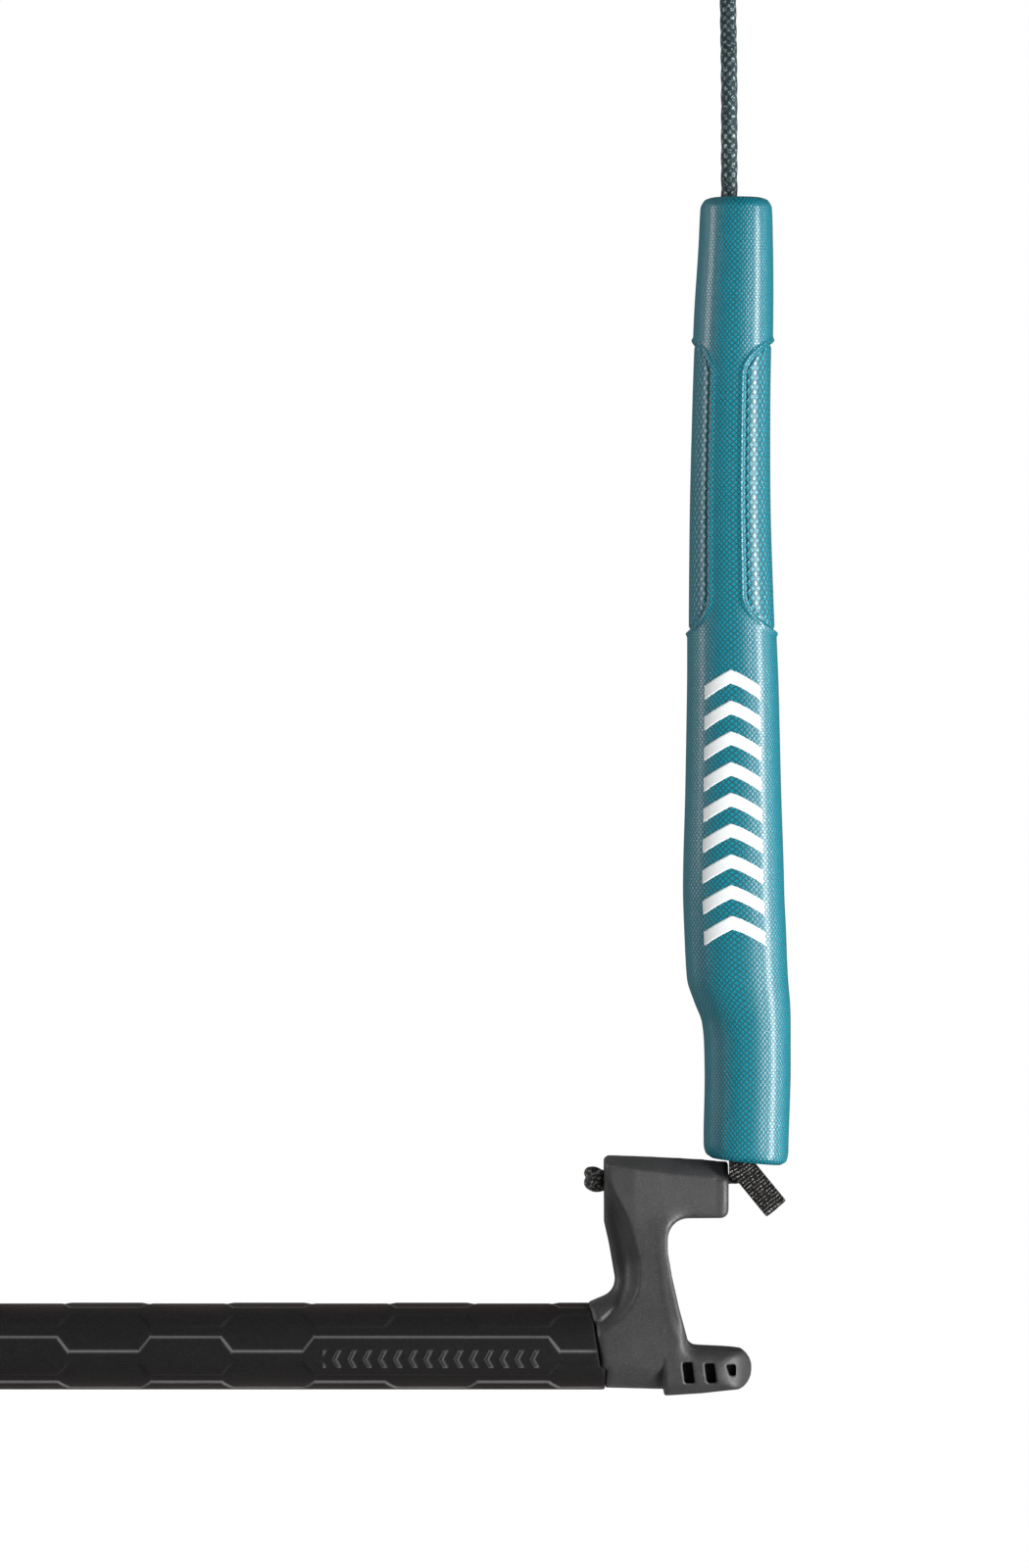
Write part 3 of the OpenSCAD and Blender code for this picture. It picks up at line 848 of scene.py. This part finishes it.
def grip_relief(x, a):
    """Height of the relief and how near it is to a tile's edge, where the grip's colour gets a painted
    highlight. a is 0 at +Z and rises to +Y.
    """
    a = np.angle(np.exp(1j * a))
    turn = np.degrees(a + 0.0588 * np.sin(a))
    row = np.round((turn - ROW_MIDDLE) / ROW_PITCH)
    wave = np.broadcast_to(column_wave(x), turn.shape)
    wave = np.where((row == 0) & (x > LONG_TILE[0]) & (x < LONG_TILE[1]), -1, wave)
    turn = turn - row * ROW_PITCH
    to_mm = math.radians(1) * grip_r
    top = (TILE_TOP + TILE_TOP_SWING * wave - turn) * to_mm
    foot = (turn - TILE_FOOT - TILE_FOOT_SWING * wave) * to_mm
    slanted = np.where(np.abs(wave) < 1, 0.66, 1.0)
    inside = np.minimum(top, foot) * slanted
    height = TILE_HEIGHT * eased(inside, -0.35, 0.35)
    edge = np.exp(-((top * slanted) / 0.34) ** 2)
    chevrons = np.where(row == 0, chevron_row(x, (turn - ROW_MIDDLE + 2.6) * to_mm), -9)
    height = height + 0.28 * eased(chevrons, -0.15, 0.3)
    # The foam swells a little along the upper side between the raised tiles
    height = height + 0.3 * wave * np.exp(-((np.degrees(a) - 90) / 30) ** 2)
    # The chevrons' rims get the same painted highlight.
    edge = np.maximum(edge, 0.55 * eased(chevrons, -0.1, 0.2) * (1 - eased(chevrons, 0.25, 0.6)))
    return height, edge


def grip_end_x(y):
    """The grip's slanted outer end."""
    return hub_x + np.interp(y, [-14, -6.5, -5.7, 14], [0, 0, -1.5, -4.5])


def make_grip(side):
    sides = 200
    a = angles(sides)
    tube_r = node_box("tube_right")[1][2]
    last_straight = hub_x - 9.0
    skin_r = grip_r - 0.5
    rings, v, masks = [], [], []

    def add(x, r, mask):
        rings.append(np.stack([x, r * np.sin(a), r * np.cos(a)], 1))
        v.append(float(x.mean()))
        masks.append(mask)

    def rounded(near, r):
        """How far the skin lies in from its radius, near to an edge that is rounded over."""
        return r - np.sqrt(r ** 2 - (r - np.clip(near, 0, r)) ** 2)

    straight = np.arange(grip_start + 1.2, last_straight, 0.42)
    for place in np.concatenate([grip_start + np.array([0, 0.15, 0.4, 0.8]), straight]):
        x = np.full(a.shape, place)
        height, edge = grip_relief(x, a)
        add(x, skin_r + height - rounded(place - grip_start, 0.9), edge)
    end = grip_end_x(grip_r * np.sin(a))
    for t in np.concatenate([np.linspace(0, 1, 20)[1:-1], [0.975, 0.99, 0.998, 1.0]]):
        x = last_straight + (end - last_straight) * t
        height, edge = grip_relief(x, a)
        add(x, skin_r + height - rounded(end - x, 0.7), edge * (1 - t ** 6))
    none = np.zeros(sides)
    for r in (skin_r - 1.6, tube_r + 0.6, tube_r + 0.05):
        add(grip_end_x(r * np.sin(a)), r, none)
    for place in np.linspace(last_straight - 2, grip_start + 0.01, 9):
        add(np.full(a.shape, place), tube_r + 0.05, none)
    points, quads, uv = ring_grid(np.array(rings), np.array(v), side, closed=True,
                                  around=2 * math.pi * grip_r)
    # The edge mask carries the painted highlight of the tile edges.
    obj = piece("grip_skin", side, "bar", "grip_foam", points, quads, uv,
                {"edge": np.concatenate(masks)}, ("grip",))


# ---------- winders ----------

def arc(center, r, a0, a1, n):
    """Points of an arc in the plane of the bar, with angles in degrees."""
    a = np.radians(np.linspace(a0, a1, n + 1))
    return np.stack([center[0] + r * np.cos(a), center[1] + r * np.sin(a)], 1)


# How far the arm reaches out from the hub face
ARM_END = 37.6
# Outline of the winder from the hub face outwards, x measured from the hub face
WINDER_OUTLINE = np.vstack([
    [[0.05, -12.6], [15.2, -13.1], [17.9, -13.1], [17.9, -14.6], [29, -13.8], [37, -12.8]],
    arc((38.6, -6.6), 6.2, -70, 62, 8), [[34, -0.6]], arc((28.3, 3.1), 3.4, -100, -180, 6),
    [[22.4, 12.2], [20.3, 21.8], [19.2, 29]], arc((25.2, 32.9), 6.2, 180, 90, 8),
    arc((ARM_END - 2.4, 41.5), 2.4, -90, 0, 4),
    [[ARM_END, 56.6], [29.6, 57.4], [0.9, 58.2], [-0.3, 57], [-0.3, 38], [1.2, 31.3], [3, 21]],
    arc((-2.6, 20.2), 5.6, 0, -62, 6), [[-4.9, 13.0], [-1.4, -5.6], [0.0, -6.4]],
])

# Curves over the winder's height y, as rows of y and of their value
# Half thickness of the face, and how deep the left flank is cut below it
FACE_CURVE = np.array([[-16, -6, 0, 10, 20, 30, 45, 54, 60],
                       [12.6, 13, 12.7, 11.3, 9.7, 8.9, 8.5, 8.4, 7.0]])
FLANK_CURVE = np.array([[-16, -6, 2, 8, 16, 26, 38, 47, 53, 60],
                        [0, 0, 1.0, 2.6, 5.0, 6.0, 5.6, 4.0, 1.6, 1.0]])
# Ridge of the face: its x, where the face turns down into the left flank
RIDGE_CURVE = np.array([[-16, 4.4, 8.7, 13.8, 19.1, 24.5, 34.4, 40.4, 49.4, 54.5, 60],
                        [-19, -1.1, 4.7, 8.4, 10.4, 10.6, 8.7, 6.8, 2.4, 0.9, 0.4]])
# Flange of the face: its x, where the face turns down into the line channel
FLANGE_CURVE = np.array([[-16, -2, 6.1, 13, 21.8, 34.4, 60],
                         [42, 26.1, 20.6, 18.7, 17.4, 16.2, 14]])


def polygon_distance(x, y, outline):
    """Distance to an outline, negative inside it."""
    best, inside = np.full(x.shape, 1e9), np.zeros(x.shape, bool)
    for (ax, ay), (bx, by) in zip(outline, np.roll(outline, -1, axis=0)):
        dx, dy = bx - ax, by - ay
        t = np.clip(((x - ax) * dx + (y - ay) * dy) / (dx * dx + dy * dy), 0, 1)
        best = np.minimum(best, (x - ax - t * dx) ** 2 + (y - ay - t * dy) ** 2)
        if dy:
            inside ^= ((ay > y) != (by > y)) & (x < dx * (y - ay) / dy + ax)
    best = np.sqrt(best)
    return np.where(inside, -best, best)


def face_height(x, y):
    """Half thickness of the winder over the plane of the bar, without its rounded edges."""
    height = smooth_between(y, *FACE_CURVE)
    # Left flank, hollow beside the neck, with a crease where it meets the hub's shoulder
    below, ridge, above = (smooth_between(y + step, *RIDGE_CURVE) for step in (-0.5, 0, 0.5))
    t = np.clip((ridge - x) / np.hypot(1, above - below), 0, None)
    deep = smooth_between(y, *FLANK_CURVE)
    drop = deep * (1 - np.exp(-(t / 2.4) ** 1.7))
    rise = 1 - eased(y, 9.5, 17.0)
    drop = drop - 1.4 * rise * eased(t, 3.4, 5.2) * eased(deep, 0.5, 2.5)
    # Right flange, rolled over into the channel
    past = x - smooth_between(y, *FLANGE_CURVE)
    s = np.clip(past, 0, None)
    along_neck = eased(y, -5.5, 1) * (1 - eased(y, 30, 40))
    roll = 0.1 + 1.4 * (1 - eased(y, 0, 11))
    lip = 0.12 * np.exp(-(past / 1.1) ** 2)
    drop = drop + (roll * (1 - np.exp(-(s / 2.4) ** 1.6)) - lip) * along_neck
    # Underside of the arm, its slimmer end, and the horn rounded in plan
    drop = drop + 1.2 * eased(x, 18, 27) * (1 - eased(y, 38.5, 44)) * eased(y, 30, 38)
    drop = drop + 2.4 * np.clip((x - 9) / 25, 0, 1) * eased(y, 34, 42)
    start = np.interp(x, [0, 12, 36], [56.0, 53.5, 50.8])
    drop = drop + 7.5 * np.clip((y - start) / (58.5 - start), 0, 1) ** 1.3
    horn = eased(x, 17.6, 18.2)
    nose = np.sqrt(np.clip(13.0 ** 2 - np.clip(x - 31.9, 0, None) ** 2, 1.0, None))
    height = height - drop
    height = np.where(y < 14, np.minimum(height, np.where(x > 25, nose, 13.0)), height)
    belly = np.sqrt(np.clip(13.1 ** 2 - np.clip(-y, 0, 13.0) ** 2, 4, None))
    horn_belly = 13.0 - 5.5 * np.clip((-y - 6.5) / 8.2, 0, 1) ** 2.2
    horn_top = 4.0 * np.clip((y + 6.5) / 7.5, 0, 1) ** 1.8 * (1 - eased(y, -0.5, 6.5))
    horn_belly = horn_belly - horn_top * eased(x, 21, 28)
    belly = belly * (1 - horn) + horn_belly * horn
    return np.where(y < 7, -smooth_max(-height, -belly, 1.2), height)


# Windows of the horn: left side, width, lower and upper end
WINDOWS = ((23.2, 3.0, -10.1, -3.9), (29.9, 3.0, -10.0, -4.2), (36.4, 2.9, -8.0, -4.7))


def window_field(x, y, z):
    """Distance to the windows in the horn's walls, negative in them. Inside them the winder's colour is
    painted near black as painted shade.
    """
    field = np.full(x.shape, 9.0)
    for low_x, width, bottom, top in WINDOWS:
        lean = 0.8 * (top - y) / (top - bottom)
        middle = low_x + width / 2 + lean
        round_off = 0.5 * np.clip((top - y) / 3.2, 0, 1) * (low_x > 36)
        side_gap = np.abs(x - middle) - width / 2 + round_off
        end_gap = np.abs(y - (top + bottom) / 2) - (top - bottom) / 2
        field = np.minimum(field, smooth_max(side_gap, end_gap, 0.5))
    return np.maximum(field, 7.0 - np.abs(z))


def winder_field(x, y, z):
    """Field of the moulded winder, 0 on its skin."""
    flat_x, flat_y = x[:, :, :1], y[:, :, :1]
    outline = polygon_distance(flat_x, flat_y, WINDER_OUTLINE)
    face = face_height(flat_x, flat_y)
    edge = np.interp(flat_y, [-14, -8, 6, 14, 40, 50, 58], [2.0, 2.6, 3.0, 2.8, 2.6, 2.4, 2.4])
    edge = edge - 1.5 * eased(flat_x, 12, 16) * eased(flat_y, 2, 10) * (1 - eased(flat_y, 34, 38))
    # The channel that the lines are wound in is hollow between its two flanges
    hollow = np.cos(np.clip(z / 8.4, -1, 1) * math.pi / 2) ** 1.3
    wound = eased(flat_x, 14, 19) * (1 - eased(flat_x, 37, 42))
    wound = wound * eased(flat_y, -6, 1) * (1 - eased(flat_y, 27, 33))
    field = smooth_max(outline + 3.2 * hollow * wound, np.abs(z) - face, edge)
    end_r = np.interp(flat_x, [20, 34], [11.5, 5.9])
    bore = np.hypot(y - arm_y, z)
    field = smooth_max(field, np.where((x > 20) & (y > arm_y), bore - end_r, -9), 0.8)
    field = np.maximum(field, -window_field(x, y, z))
    return smooth_max(field, 1.8 - bore, 0.6)


def relax(points, quads, rounds):
    """Points moved half way to the middle of their neighbours, some times over."""
    a, b = quads.T.ravel(), np.roll(quads, -1, axis=1).T.ravel()
    n = len(points)
    count = np.bincount(a, minlength=n) + np.bincount(b, minlength=n)
    for _ in range(rounds):
        total = np.stack([np.bincount(a, points[b, k], n) + np.bincount(b, points[a, k], n)
                          for k in range(3)], 1)
        points = points + 0.5 * (total / count[:, None] - points)
    return points


def moulded(field, low, high, step, rounds):
    """Points and quads of a moulded shape, from its field between two corners."""
    grid = [np.arange(a, b, step) for a, b in zip(low, high)]
    points, quads = surface_net(field(*np.meshgrid(*grid, indexing="ij")), np.array(low), step)
    return relax(points, quads, rounds), quads


def lathe(profile, sides, side):
    """A closed turned shape along X: profile holds [x, radius] pairs."""
    a = angles(sides)
    rings = [np.stack([np.full(sides, x), r * np.sin(a), r * np.cos(a)], 1) for x, r in profile]
    return ring_grid(np.array(rings), np.array([x for x, _ in profile]), side, closed=True)


def make_winder(side):
    local, quads = moulded(winder_field, (-5.6, -15.6, -14.0), (46.2, 59.4, 14.4), 0.4, 2)
    # The spigot goes into the tube, with a groove for each of its two seals
    _, (tube_end, _, tube_r) = node_box("tube_right")
    bore, start, groove = tube_r - 1.55, hub_x - 30, 1.25
    profile = [(start, 3.2), (start, bore - 0.8), (start + 0.8, bore)]
    for at in (hub_x - 26, hub_x - 21):
        profile += [(at, bore), (at, bore - groove), (at + 1.8, bore - groove), (at + 1.8, bore)]
    profile += [(tube_end + 0.05, bore), (tube_end + 0.05, tube_r - 0.05),
                (hub_x + 1, tube_r - 0.05), (hub_x + 1, 3.2)]
    spigot_points, spigot_quads, _ = lathe(profile, 64, side)
    quads = np.concatenate([quads[:, ::SIDES[side]], spigot_quads + len(local)])
    points = np.concatenate([mirrored(local + [hub_x, 0, 0], side), spigot_points])
    # Inside the windows the plastic is painted near black as painted shade, but not at their rims
    local = mirrored(points, side) - [hub_x, 0, 0]
    deep = eased(face_height(local[:, 0], local[:, 1]) - np.abs(local[:, 2]), 0.4, 1.1)
    piece("winder_moulding", side, "bar", "winder_plastic", points, quads,
          masks={"hollow": (window_field(*local.T) < 0.25) * deep}, replaces=("winder",))


# ---------- adjuster lines, knots and loops ----------

def make_lines(side):
    (knot_low, _, _), (knot_high, _, _) = node_box("stopper_knot_right")
    knot_x = (knot_low + knot_high) / 2 + 1.5
    braided("stopper_knot_tied", side, "adjuster", "black_line",
            knot_route((knot_x, arm_y, 0), 2.5, (1, 0, 0), (0, 0.94, 0.34), 1.6),
            1.65, 0.25, 24, 2.6, ("stopper_knot",))

    # The line runs through the arm and bends up into the float's pocket
    top = node_box("adjuster_knots_right")[1][1]
    turn, up_x = 2.2, pivot[0] - 0.35
    route = [(x, arm_y, 0) for x in (knot_x, 212, 228, 240)]
    route += [(up_x - turn + turn * math.sin(t), arm_y + turn - turn * math.cos(t), 0)
              for t in np.radians((0, 22, 45, 68, 90))]
    route += [(up_x, y, 0) for y in (arm_y + 6, arm_y + 9, top - 1.0)]
    line, _ = braided("adjuster_cord", side, None, "black_line", route, adjuster_r, 0.3, 24, 3.2,
                      ("adjuster_line",))
    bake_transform(line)
    for number, rise, replaces in ((1, 3.4, ("adjuster_knots",)), (2, 7.6, ())):
        braided(f"adjuster_knot_{number}", side, "leader", "black_line",
                knot_route((pivot[0], arm_y + 4 + rise, 0), 2.3, (0, 1, 0), (1, 0, 0), 0.7),
                1.25, 0.25, 20, 2.6, replaces)

    # The leader's own loop end, knotted, sits above them
    loop_low, loop_high = (corner[1] for corner in node_box("leader_loop_right"))
    slot = LEADER_SLOTS[side]
    braided("leader_loop_knot", side, "leader", slot,
            knot_route((pivot[0], loop_low + 4.6, 0), 2.8, (0, 1, 0), (0, 0, 1)),
            1.8, 0.35, 24, 4.6, ("leader_loop",))
    core_top = node_box("leader_core_right")[1][1]
    route = [(pivot[0], loop_low + 6, 0), (pivot[0] - 0.05, loop_high, 0)]
    route += [(pivot[0] - 0.1 - 4.0 * t, loop_high + (core_top - loop_high) * t, 0)
              for t in (0.1, 0.3, 0.5, 0.7, 0.9, 1.0)]
    braided("leader_inner", side, "leader", slot, route, line_r, 0.6, 24, 6.2, ("leader_core",))


# ---------- pull tabs ----------

def make_tab(side):
    """Two layers of ribbed webbing, one strip folded over at its free end. It comes down out of
    the float's pocket and over the corner of the winder's arm."""
    direction = unit(np.array([0.634, -0.773, 0]))
    across = np.array([-direction[1], direction[0], 0])
    (_, _, low), (_, _, high) = node_box("pull_tab_right")
    length, half_width = 12.0, 3.85
    hinge = pivot + [9.9, -8.4, low] - length * direction
    layer = (high - low) / 2
    half = layer / 2
    # One layer's middle, from inside the pocket to the fold, as [along the tab, height]
    lead = [[-13.5, -2.6], [-11, -2.4], [-9, -1.7], [-7.2, -0.6], [-5.4, 0.0], [-3.6, 0.1],
            [-1.8, 0], [0, 0]]
    straight = np.stack([np.arange(1.5, length - half, 1.5), np.zeros(7)], 1)
    lower = np.vstack([lead, straight])
    bend = np.radians(np.linspace(-90, 90, 9))
    fold = np.stack([length - layer + half * np.cos(bend) * 1.6, layer + half * np.sin(bend)], 1)
    upper = lower[::-1] + [0, layer]
    lower = lower + [0, half]
    upper = upper + [0, half]
    profile = np.vstack([lower, fold[1:-1], upper])
    points = [hinge + p * direction + [0, 0, q] for p, q in profile]
    # The strip turns towards the middle of the pocket as it goes up into it
    points = [p + np.array([0.35, 0.175, 0]) * max(0.0, (hinge - p) @ direction - 6) for p in points]
    path, s = smooth_curve(points, 0.1)
    rings = band_rings(path, across, half_width, 0.56, 48)
    offset = rings - path[:, None]
    sideways = offset @ across
    rib = np.cos(2 * math.pi * (s[:, None] / RIB_PITCH + 0.5 * (sideways > 0)))
    proud = offset - sideways[..., None] * across
    rings = (path[:, None] + sideways[..., None] * across * (1 + 0.012 * rib[..., None])
             + proud * (1 + 0.25 * rib[..., None]))
    # Its root widens towards the arm and is pressed flat along the arm's end, so that it clears
    # the arm as the line rolls
    along = (rings - hinge) @ direction
    rings[..., 0] -= 1.6 * np.clip(-sideways / half_width, 0, 1) * eased(-along, 0.5, 4.0)
    rings[..., 0] = np.maximum(rings[..., 0], hub_x + ARM_END + 0.04)
    points, quads, uv = ring_grid(rings, s, side, ends=True, around=16.0)
    obj = piece("pull_tab_webbing", side, None, "webbing", points, quads, uv, replaces=("pull_tab",))
    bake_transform(obj)


for make in (make_float, make_grip, make_winder, make_lines, make_tab):
    for side in SIDES:
        make(side)


# ---------- centre hub ----------

def cover_field(x, y, z, half):
    """Field of one hub cover, half being 1 for the upper and -1 for the lower one."""
    width, depth = 18.5, 15.5
    belly = np.sqrt(np.clip(1 - (y / 17.5) ** 2, 0.01, 1)) * 13.3
    ends = np.abs(x) - width
    body = smooth_max(smooth_max(ends, np.abs(y) - depth, 3.0), np.abs(z) - belly, 3.0)
    body = smooth_max(body, 0.06 - half * z, 0.5)
    # Room for the centre core, for the tubes along X and for the steel sleeve along Y
    pocket = np.maximum(np.maximum(np.abs(x) - 12.05, np.abs(y) - 13.85), np.abs(z) - 10.65)
    body = np.maximum(body, -pocket)
    body = np.maximum(body, 9.58 - np.hypot(y, z))
    body = np.maximum(body, 8.98 - np.hypot(x, z))
    # Screw holes, with a seat for each head in the upper cover
    for screw_x, screw_y in ((-15.4, -12.2), (-15.4, 12.2), (15.4, -12.2), (15.4, 12.2)):
        d = np.hypot(x - screw_x, y - screw_y)
        body = smooth_max(body, 1.56 - d, 0.3)
        if half > 0:
            body = smooth_max(body, np.minimum(2.8 - d, z - 8.15), 0.3)
    # A shallow grip field of ribs on the face
    rib = 0.22 * np.cos(x * math.pi / 1.6) - 0.1
    rib = rib * eased(12 - np.abs(x), 0, 2) * eased(9.5 - np.abs(y), 0, 2)
    return body - np.where(np.abs(z) > 9, rib, 0)


def make_cover(name, half, low_z, high_z):
    points, quads = moulded(lambda x, y, z: cover_field(x, y, z, half),
                            (-19.8, -17.0, low_z), (20.0, 17.2, high_z), 0.36, 1)
    piece(name + "_shell", None, "bar", "hub_plastic", points, quads, replaces=(name,))


make_cover("center_cover_top", 1, -0.8, 14.4)
make_cover("center_cover_bottom", -1, -14.2, 1.0)


# ---------- CAD nodes that stay, with their finishes ----------

KEPT = {"center_core": "hub_plastic", "center_sleeve": "steel", "cover_screws": "steel"}
for side in SIDES:
    KEPT.update({f"tube_{side}": "tube_metal", f"tube_foam_{side}": "core_foam",
                 f"spigot_seals_{side}": "seal_rubber", f"lock_pin_{side}": "steel"})
for node, slot in KEPT.items():
    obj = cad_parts[node]
    for index in range(len(obj.material_slots)):
        obj.material_slots[index].material = MATERIALS[slot]
    obj.data.shade_smooth()
